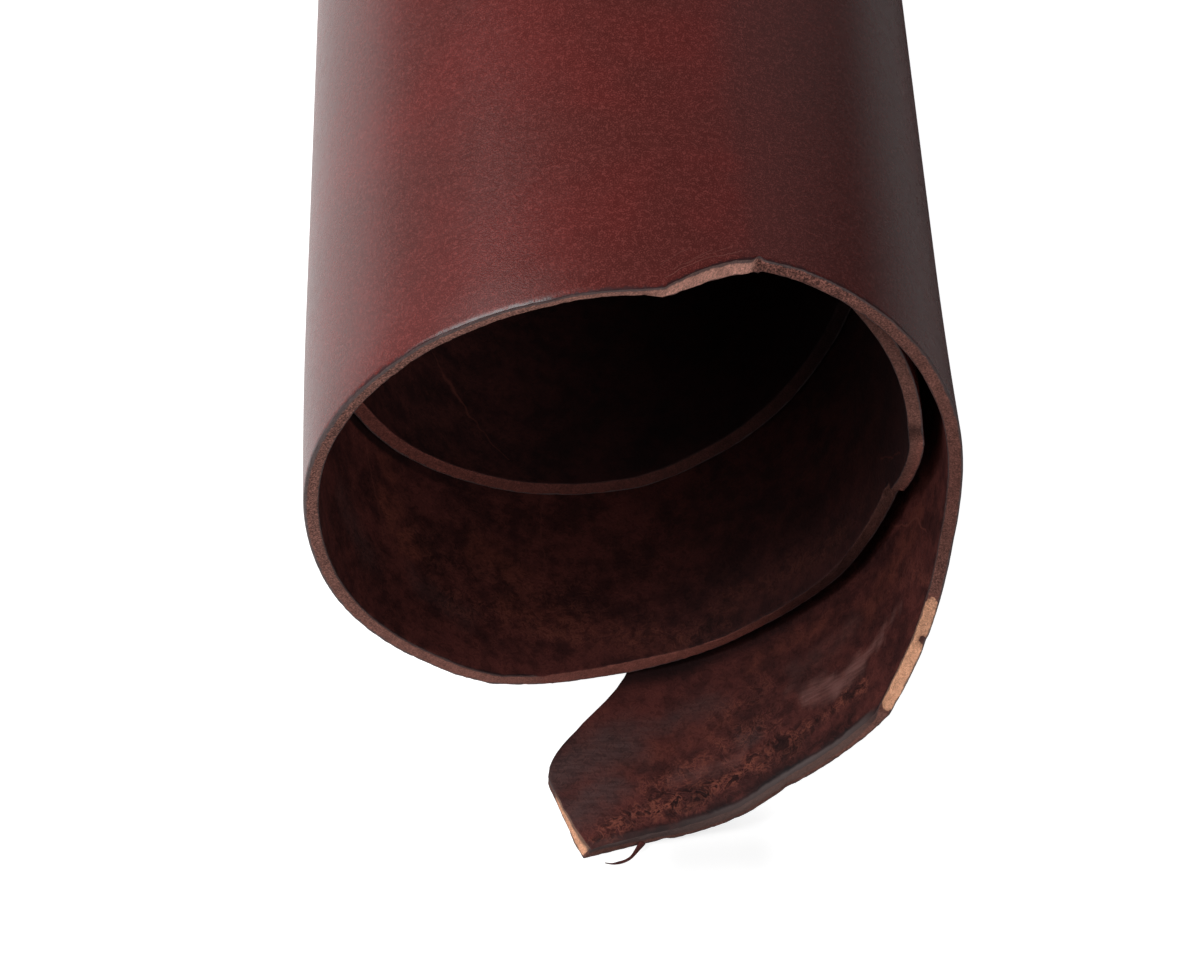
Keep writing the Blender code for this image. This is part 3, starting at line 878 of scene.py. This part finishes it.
# Places on the sheet are in mm: round the roll from the tail's corner, and behind the rim.
# A dye is the size of its clouds in mm and its strength. A ramp runs from one value to another, and
# then gives what they become where that isn't 0 and 1. A slope is a factor and what is added to it.
grainLook = {
    "red": (0.145, 0.0245, 0.0222),
    "brown": (0.094, 0.0255, 0.0225),
    "edgeBurnish": (0.036, 0.018, 0.020),
    # pale pink: the painted highlight on the pebble's peaks and on the highlight lines along the rim
    "pale": (0.30, 0.12, 0.10),
    "browned": (0.108, 0.0262, 0.0240),
    "roughness": 0.265,
    "specular": 0.30,
    "coatRoughness": 0.3,
    "broadDye": (32.0, 0.45),
    "closeDye": (4.5, 0.22),
    "brownRamp": (0.85, 1.15, 0.0, 0.5),
    "pebbleMm": 0.50,
    "pebbleDepthMm": 0.024,
    # the pebble's colour lighter on its peaks and darker between them: painted highlight and painted
    # shade
    "pebbleLightShadeRamp": (0.0, 1.0, 0.85, 1.40),
    "pebbleHighlight": 0.10,
    "rubReachMm": 1.0,
    "rubShare": 0.85,
    "rubCoat": 0.45,
    "highlightStreakWobble": (3.5, 1.2),  # size of its waves and their push, in mm
    # pale lines along the rim above the cut: painted highlight lines
    "highlightStreaks": [
        (267.0, 1.8, 258.0, 8.2, 0.24, 0.7, 0.45), (258.0, 8.2, 248.0, 13.4, 0.24, 0.7, 0.4),
        (265.0, 4.2, 255.5, 11.8, 0.2, 0.7, 0.35), (263.5, -0.5, 252.0, 8.8, 0.24, 0.7, 0.35),
        (268.0, 5.5, 260.5, 12.0, 0.2, 0.7, 0.3), (262.0, 6.4, 250.0, 14.6, 0.2, 0.7, 0.3),
    ],
}


def makeGrainMaterial():
    look = grainLook
    material, shader = startMaterial(
        "grainSide", Specular_IOR_Level=look["specular"], Coat_Roughness=look["coatRoughness"])
    place = attribute("sheet", "Vector")
    broad = dye(place, *look["broadDye"])
    close = dye(place, *look["closeDye"])
    pebble = useGroup(finePebble, Position=place, Pitch=look["pebbleMm"])
    fromEdge = attribute("fromEdge")
    rub = useGroup(rubbedEdge, Position=place, From_Edge=fromEdge, Reach=look["rubReachMm"])["Mask"]

    colour = blend(ramp(broad, *look["brownRamp"]), look["red"], look["brown"])
    colour = blend(attribute("browned"), colour, look["browned"])
    colour = scaled(colour, close)
    # the pebble: partly the grain's own tone, partly a painted highlight on its peaks and painted shade
    # between them
    colour = scaled(colour, ramp(pebble["Peaks"], *look["pebbleLightShadeRamp"]))
    colour = blend(times(pebble["Peaks"], look["pebbleHighlight"]), colour, look["pale"])
    # painted highlight lines along the rim above the cut
    highlightStreaks = allMarks(wobbled(place, *look["highlightStreakWobble"]), look["highlightStreaks"])
    colour = blend(highlightStreaks, colour, look["pale"])
    colour = blend(times(rub, look["rubShare"]), colour, look["edgeBurnish"])
    feed(shader.inputs["Base Color"], colour)

    feed(shader.inputs["Roughness"], times(close, look["roughness"]))
    feed(shader.inputs["Coat Weight"], times(rub, look["rubCoat"]))
    bumpFrom(shader, pebble["Height"], look["pebbleDepthMm"])
    return material


fleshLook = {
    "dark": (0.040, 0.0120, 0.0117),
    "brown": (0.102, 0.0265, 0.0230),
    "rust": (0.185, 0.055, 0.037),
    # near black: painted shade between the fibres, the next turn's painted shadow, and the blackened
    # spots
    "shadeAndBlackSpots": (0.012, 0.0055, 0.0060),
    # grey dull wear, partly a painted sheen
    "dullWearAndSheen": (0.073, 0.040, 0.039),
    "buffed": (0.235, 0.107, 0.094),
    # painted shade deep inside the roll
    "deepShade": (0.0150, 0.0095, 0.0105),
    "warmed": (0.150, 0.039, 0.027),
    # grey of the rubbed strip on the flap's front: real rubbing, its grey partly a painted highlight
    "rubbed": (0.094, 0.066, 0.063),
    # painted shade in the crease just behind the cut
    "creaseShadeColour": (0.010, 0.0085, 0.0100),
    "vein": (0.17, 0.050, 0.038),
    "scratched": (0.45, 0.40, 0.40),
    "roughness": 0.62,
    "specular": 0.14,
    "coatRoughness": 0.5,
    "toneDye": (13.0, 1.0),
    "patchyDye": (4.4, 1.2),
    "cloudShares": (0.65, 0.35),  # of the tone and of the patches
    "brownRamp": (0.72, 1.30),
    "coarseMm": 2.9,  # pitch of the matted fibres
    "fineMm": 1.2,
    "combing": (0.14, 1.0, 1.0),  # draws a noise out round the roll
    "combingMm": 1.0,
    "combedRamp": (0.35, 0.65),
    "warmedRamp": (0.6, 1.3, 0.3, 1.0),
    "dulledRamp": (0.0, 1.0, 0.80, 1.16),
    "rustyDarkRamp": (0.65, 1.25, 0.9, 0.2),
    "tornRamp": (0.75, 1.3, 0.2, 1.0),
    "curlSlope": (0.8, 0.04),
    "wispSlope": (0.65, 0.10),
    "fluffRamp": (0.3, 0.9),
    "fluffLight": 0.25,
    # the fine nap's painted light and shade: lighter on its tops, darker low down
    "napLightShadeRamp": (0.3, 0.9, 0.84, 1.16),
    # where the painted shade between the coarse fibres falls
    "hollowShadeRamp": (0.52, 0.36, 0.0, 0.8),
    "blackenedRamp": (0.95, 0.45, 0.6, 1.0),
    "buffedRamp": (0.0, 1.0, 0.55, 1.0),
    "shadowRamp": (-1.0, -0.1),
    "veinWobble": (5.0, 3.6),
    "veinShare": 0.7,
    "edgeWobbleMm": 0.7,
    "creaseFrom": (2.4, 1.0),  # slopes, from the rest of the edge to the flap
    "creaseTo": (1.9, 0.3),
    "creaseShare": 0.85,
    "rubRamp": (2.4, 1.4),
    "rubSmooth": 0.12,
    "rubCoat": 0.2,
    "rustyRough": 0.15,
    "napDepthMm": 0.14,
    "napSlope": (1.3, 0.3),
    "fineNap": (0.9, 0.5),  # size in mm, share
    "veins": [
        (952.3, 98.3, 957.0, 92.5, 1.2, 1.0, 0.5), (957.0, 92.5, 963.0, 85.3, 2.4, 1.0, 0.85),
        (963.0, 85.3, 966.5, 81.5, 1.8, 1.0, 0.75), (966.5, 81.5, 979.0, 70.2, 0.9, 0.9, 0.5),
        (443.0, 55.4, 454.0, 26.2, 0.9, 0.9, 0.5), (507.5, 59.6, 508.2, 27.1, 0.9, 0.9, 0.4),
        (103.7, 22.4, 110.0, 17.5, 0.8, 0.7, 1.0), (110.0, 17.5, 116.7, 15.6, 0.9, 0.7, 1.0),
        (116.7, 15.6, 121.8, 7.2, 0.8, 0.7, 1.0), (626.8, 32.9, 642.4, 21.9, 0.7, 0.7, 0.6),
    ],
    "scratches": [(33.2, -32.0, 35.2, -32.8, 0.45, 0.5, 0.8)],
}


def makeFleshMaterial():
    look = fleshLook
    material, shader = startMaterial(
        "fleshSide", Specular_IOR_Level=look["specular"], Coat_Roughness=look["coatRoughness"])
    place = attribute("sheet", "Vector")
    rusty, blackened, buffed, dullWearAndSheen, warmed, inside = (
        attribute(name) for name in ("rusty", "blackened", "buffed", "dullWearAndSheen", "warmed", "inside"))
    tone = dye(place, *look["toneDye"])
    patchy = dye(place, *look["patchyDye"])
    coarse = useGroup(curlyFibres, Position=place, Pitch=look["coarseMm"])
    fine = useGroup(curlyFibres, Position=place, Pitch=look["fineMm"])
    combed = noise(vector("MULTIPLY", place, look["combing"]), look["combingMm"])
    combed = ramp(combed, *look["combedRamp"])

    # cloudy brown with warmer patches, and grey dull wear that is partly a painted sheen
    toneShare, patchyShare = look["cloudShares"]
    cloud = plus(times(tone, toneShare), times(patchy, patchyShare))
    colour = blend(ramp(cloud, *look["brownRamp"]), look["dark"], look["brown"])
    warm = times(warmed, ramp(patchy, *look["warmedRamp"]))
    colour = blend(warm, colour, look["warmed"])
    flatTone = scaled(look["dullWearAndSheen"], ramp(combed, *look["dulledRamp"]))
    colour = blend(dullWearAndSheen, colour, flatTone)

    # rusty torn fibres, fluffy on top, with painted shade low between them, and blackened spots
    rustyDark = times(rusty, ramp(patchy, *look["rustyDarkRamp"]))
    colour = blend(rustyDark, colour, look["dark"])
    torn = ramp(patchy, *look["tornRamp"])
    for fibres, slope in ((coarse, look["curlSlope"]), (fine, look["wispSlope"])):
        strands = times(times(fibres["Strands"], torn), sloped(rusty, *slope))
        colour = blend(strands, colour, look["rust"])
    fluff = times(rusty, ramp(fine["Height"], *look["fluffRamp"]))
    # painted light and shade on the fine nap, lighter on its tops and darker low down; the fluff is
    # lighter still
    napLightShade = ramp(fine["Height"], *look["napLightShadeRamp"])
    colour = scaled(colour, sloped(fluff, look["fluffLight"], napLightShade))
    # painted shade low between the rusty fibres, and blackened spots, in one near-black colour
    hollowShade = times(rusty, ramp(coarse["Height"], *look["hollowShadeRamp"]))
    spots = times(blackened, ramp(coarse["Height"], *look["blackenedRamp"]))
    colour = blend(number("MAXIMUM", hollowShade, spots), colour, look["shadeAndBlackSpots"])

    # buffed streaks, painted shade deep inside the roll, veins and scratches
    streak = times(buffed, ramp(combed, *look["buffedRamp"]))
    colour = blend(streak, colour, look["buffed"])
    colour = blend(inside, colour, look["deepShade"])
    veins = allMarks(wobbled(place, *look["veinWobble"]), look["veins"])
    colour = blend(times(veins, look["veinShare"]), colour, look["vein"])
    colour = blend(allMarks(place, look["scratches"]), colour, look["scratched"])

    # the next turn's painted shadow, painted shade in the crease, and the rubbed strip along the cut
    under = ramp(attribute("underNext"), *look["shadowRamp"])
    colour = blend(times(under, attribute("nextShadow")), colour, look["shadeAndBlackSpots"])
    onFlap = onTheFlap()
    uneven = times(minus(patchy, 1.0), look["edgeWobbleMm"])
    fromCut = plus(attribute("fromNear"), uneven)
    creaseFrom = sloped(onFlap, *look["creaseFrom"])
    creaseTo = sloped(onFlap, *look["creaseTo"])
    # painted shade in the crease behind the cut
    crease = times(ramp(fromCut, creaseFrom, creaseTo), attribute("creaseShadeShare"))
    colour = blend(times(crease, look["creaseShare"]), colour, look["creaseShadeColour"])
    # the rubbed strip: real rubbing, with its grey colour partly a painted highlight
    rub = times(ramp(fromCut, *look["rubRamp"]), attribute("rubbedShare"))
    colour = blend(rub, colour, look["rubbed"])
    feed(shader.inputs["Base Color"], colour)

    rough = minus(look["roughness"], times(rub, look["rubSmooth"]))
    feed(shader.inputs["Roughness"], sloped(rusty, look["rustyRough"], rough))
    feed(shader.inputs["Coat Weight"], times(rub, look["rubCoat"]))
    napSize, napShare = look["fineNap"]
    nap = times(coarse["Height"], sloped(rusty, *look["napSlope"]))
    nap = plus(nap, times(noise(place, napSize, 0.0), napShare))
    bumpFrom(shader, nap, look["napDepthMm"])
    return material


cutLook = {
    "worn": (0.175, 0.072, 0.056),
    "ruddy": (0.182, 0.052, 0.040),
    "fresh": (0.88, 0.445, 0.270),
    "pink": (0.70, 0.345, 0.27),
    # dark strokes, and painted shade on the inner turns' edges
    "dark": (0.022, 0.0085, 0.0080),
    "speckDark": (0.040, 0.016, 0.014),
    # grey burnished line on the grain side, partly a painted sheen
    "grainLine": (0.084, 0.061, 0.062),
    "fleshLine": (0.036, 0.024, 0.026),
    "flapRub": (0.140, 0.083, 0.071),
    "roughness": 0.72,
    "specular": 0.14,
    "coatRoughness": 0.42,
    "closeDye": (2.4, 0.75),
    "gritDye": (0.48, 1.5),
    "closeRamp": (0.4, 1.6, 0.74, 1.26),
    "freshUneven": 0.3,
    "freshRamp": (0.40, 0.60),
    "speckRamp": (1.15, 0.55),
    "speckShare": 0.95,
    "glintRamp": (1.1, 1.5),
    "glintLight": 0.8,
    "fibreMm": 0.6,
    # lighter on the fibres' tops, darker between them: painted light and shade
    "fibreLightShadeRamp": (0.3, 1.0, 0.88, 1.20),
    "fibreDepthMm": 0.10,
    "gritHeight": 0.5,
    "lineWobbleMm": 0.6,  # how uneven the burnished lines along the cut's corners are
    "grainLineRamp": (0.25, -0.25),
    "grainLineShare": 0.85,
    "fleshLineFrom": (0.6, 0.2),  # slope, from the rest of the edge to the flap
    "fleshLineTo": -0.2,
    "fleshLineShare": 0.80,
    "lineSmooth": 0.2,
    "lineCoat": 0.28,
}


def makeCutMaterial():
    look = cutLook
    material, shader = startMaterial(
        "cutEdge", Specular_IOR_Level=look["specular"], Coat_Roughness=look["coatRoughness"])
    place = attribute("sheet", "Vector")
    fresh, pink, dark, gritty, ruddy = (
        attribute(name) for name in ("fresh", "pink", "dark", "gritty", "ruddy"))
    apart = put("ShaderNodeSeparateXYZ")
    feed(apart.inputs[0], place)
    close = dye(place, *look["closeDye"])
    grit = dye(place, *look["gritDye"])
    fibres = useGroup(curlyFibres, Position=place, Pitch=look["fibreMm"])

    # the colour of each stroke of the knife, with painted shade on the inner turns' edges
    colour = blend(ruddy, look["worn"], look["ruddy"])
    colour = blend(dark, colour, look["dark"])
    colour = blend(pink, colour, look["pink"])
    hover = minus(close, 1.0)
    broken = ramp(sloped(hover, look["freshUneven"], fresh), *look["freshRamp"])
    colour = blend(times(broken, fresh), colour, look["fresh"])

    # specks, glints, and painted light and shade on the fibres' relief
    specks = times(ramp(grit, *look["speckRamp"]), times(gritty, look["speckShare"]))
    colour = blend(specks, colour, look["speckDark"])
    glints = times(ramp(grit, *look["glintRamp"]), gritty)
    tone = sloped(glints, look["glintLight"], ramp(close, *look["closeRamp"]))
    colour = scaled(colour, tone)
    colour = scaled(colour, ramp(fibres["Height"], *look["fibreLightShadeRamp"]))

    # the burnished lines along both corners; the grain side's grey line is partly a painted sheen
    layer = sloped(hover, look["lineWobbleMm"], apart.outputs[2])
    fromGrain = minus(layer, attribute("burnishedGrain"))
    grainLine = ramp(fromGrain, *look["grainLineRamp"])
    fromFlesh = minus(minus(thickMm, layer), attribute("burnishedFlesh"))
    onFlap = onTheFlap()
    fleshLine = ramp(fromFlesh, sloped(onFlap, *look["fleshLineFrom"]), look["fleshLineTo"])
    colour = blend(times(grainLine, look["grainLineShare"]), colour, look["grainLine"])
    rubbed = blend(attribute("rubbedShare"), look["fleshLine"], look["flapRub"])
    lineColour = blend(onFlap, look["fleshLine"], rubbed)
    colour = blend(times(fleshLine, look["fleshLineShare"]), colour, lineColour)
    feed(shader.inputs["Base Color"], colour)

    rough = minus(look["roughness"], times(grainLine, look["lineSmooth"]))
    feed(shader.inputs["Roughness"], rough)
    lines = number("MAXIMUM", grainLine, fleshLine)
    feed(shader.inputs["Coat Weight"], times(lines, look["lineCoat"]))
    height = sloped(grit, look["gritHeight"], fibres["Height"])
    bumpFrom(shader, height, look["fibreDepthMm"])
    return material


for material in (makeGrainMaterial(), makeFleshMaterial(), makeCutMaterial()):
    leatherSide.data.materials.append(material)
looseThread.data.materials.append(bpy.data.materials["fleshSide"])
print("leather finishes made")

# Floor, camera and lights.
studio = {
    "floorSize": 8.0,
    "floorDrop": 0.0003,  # below the roll, so that the two never meet
    "floorColour": (0.42, 0.42, 0.42),
    "floorSeen": 0.985,
    "floorLeftGlow": 0.55,
    "floorGlowAcross": (0.03, -0.08),  # where the glow starts and where it is full
    "shadowFrom": (0.0125, -0.4850, 0.0),
    "shadowTo": (0.0300, -0.4845, 0.0),
    "shadowWidth": 0.042,
    "shadowDepth": 0.315,
    "skyGlow": 0.006,
    "sensor": 36.0,
    "cameraAt": (-0.02305, -0.96086, 0.7289),
    "cameraPitch": 50.36,
    "cameraYaw": 1.61,
    "lens": 100.0,
    "aimAt": (0.0, -0.38, 0.08),
    "lightDistance": 1.6,
    "lightSize": 1.0,
    "lights": [  # name, azimuth from the near end towards the right, elevation, watts
        ("windowLeft", -90, 48, 16.5),
        ("frontRight", 30, 18, 8.2),
        ("backLeft", -120, 48, 5.2),
        ("frontLeft", -60, 48, 5.2),
        ("lowBackLeft", -120, 18, 1.1),
        ("backRight", 150, 18, 0.55),
    ],
}


def makeFloor():
    # to the camera it is white paper with a soft shadow, and on its left it glows on the leather
    size = studio["floorSize"] / 2
    mesh = bpy.data.meshes.new("floor")
    ways = ((-1, -1), (1, -1), (1, 1), (-1, 1))
    corners = [(size * x, size * y, -studio["floorDrop"]) for x, y in ways]
    mesh.from_pydata(corners, [], [(0, 1, 2, 3)])
    floor = placeObject("floor", mesh)
    material, shader = startMaterial("whiteFloor", Roughness=0.8, Specular_IOR_Level=0.0)
    feed(shader.inputs["Base Color"], (*studio["floorColour"], 1))
    rays = put("ShaderNodeLightPath")
    where = put("ShaderNodeNewGeometry")
    apart = put("ShaderNodeSeparateXYZ")
    feed(apart.inputs[0], where.outputs["Position"])
    leftSide = ramp(apart.outputs[0], *studio["floorGlowAcross"], 0.0, studio["floorLeftGlow"])
    shadow = useGroup(
        markBetweenPoints, Position=where.outputs["Position"], From=studio["shadowFrom"],
        To=studio["shadowTo"], Width=studio["shadowWidth"], Softness=1.0)["Mask"]
    paper = minus(studio["floorSeen"], times(shadow, studio["shadowDepth"]))
    seen = times(rays.outputs["Is Camera Ray"], paper)
    other = times(minus(1.0, rays.outputs["Is Camera Ray"]), leftSide)
    feed(shader.inputs["Emission Color"], (1, 1, 1, 1))
    feed(shader.inputs["Emission Strength"], plus(seen, other))
    mesh.materials.append(material)


def makeCamera():
    data = bpy.data.cameras.new("camera")
    data.lens = studio["lens"]
    data.sensor_width = studio["sensor"]
    data.clip_end = 50
    camera = placeObject("camera", data)
    camera.location = studio["cameraAt"]
    pitch, yaw = math.radians(90 - studio["cameraPitch"]), -math.radians(studio["cameraYaw"])
    camera.rotation_euler = (pitch, 0, yaw)
    bpy.context.scene.camera = camera


def makeLights():
    for name, azimuth, elevation, watts in studio["lights"]:
        data = bpy.data.lights.new(name, "AREA")
        data.size = studio["lightSize"]
        data.energy = watts
        light = placeObject(name, data)
        turn, lift = math.radians(azimuth), math.radians(elevation)
        level = math.cos(lift)
        out = Vector((math.sin(turn) * level, -math.cos(turn) * level, math.sin(lift)))
        light.location = Vector(studio["aimAt"]) + out * studio["lightDistance"]
        light.rotation_euler = (-out).to_track_quat("-Z", "Y").to_euler()
        light.visible_camera = False

    # outside the floor the camera sees white, and the leather hardly any sky
    world = bpy.data.worlds.new("studio")
    world.use_nodes = True
    drawing["tree"] = world.node_tree
    sky = world.node_tree.nodes["Background"]
    sky.inputs["Color"].default_value = (1, 1, 1, 1)
    rays = put("ShaderNodeLightPath")
    strength = ramp(rays.outputs["Is Camera Ray"], 0.0, 1.0, studio["skyGlow"], 1.0)
    feed(sky.inputs["Strength"], strength)
    bpy.context.scene.world = world


makeFloor()
makeCamera()
makeLights()
bpy.context.scene.view_settings.view_transform = "Standard"
print("studio made")
